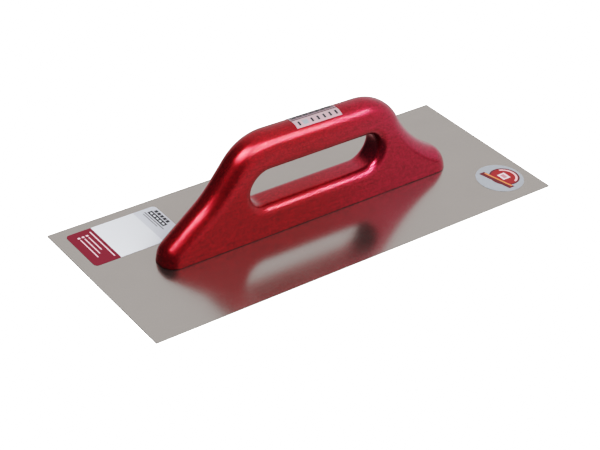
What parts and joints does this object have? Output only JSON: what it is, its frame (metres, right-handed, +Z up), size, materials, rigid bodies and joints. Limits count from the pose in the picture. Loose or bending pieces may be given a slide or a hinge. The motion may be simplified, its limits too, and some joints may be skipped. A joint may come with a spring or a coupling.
{
  "type": "finishing trowel",
  "caption": "Flat rectangular steel plastering trowel with a closed wooden D-handle screwed along its middle.",
  "frame": {"origin": "middle of the blade, on its flat working face", "axes": "+X along the blade towards the end with the round sticker, +Y across the blade, +Z up from the blade to the grip"},
  "size_m": [0.32, 0.13, 0.0745],
  "materials": {
    "stainless_sheet": "cold-rolled, finely ground, semi-bright",
    "lacquered_beech": "metallic red lacquer, satin gloss",
    "zinc_plated_steel": "bright zinc plating",
    "printed_paper": "satin printed paper",
    "printed_film": "printed clear film",
    "printed_foil": "printed silver foil"
  },
  "bodies": {
    "root": {"blade": "stainless_sheet", "handle": "lacquered_beech", "screw_1": "zinc_plated_steel", "screw_2": "zinc_plated_steel", "screw_3": "zinc_plated_steel", "screw_4": "zinc_plated_steel", "blade_label": "printed_paper", "round_label": "printed_film", "grip_label": "printed_foil"}
  },
  "joints": []
}
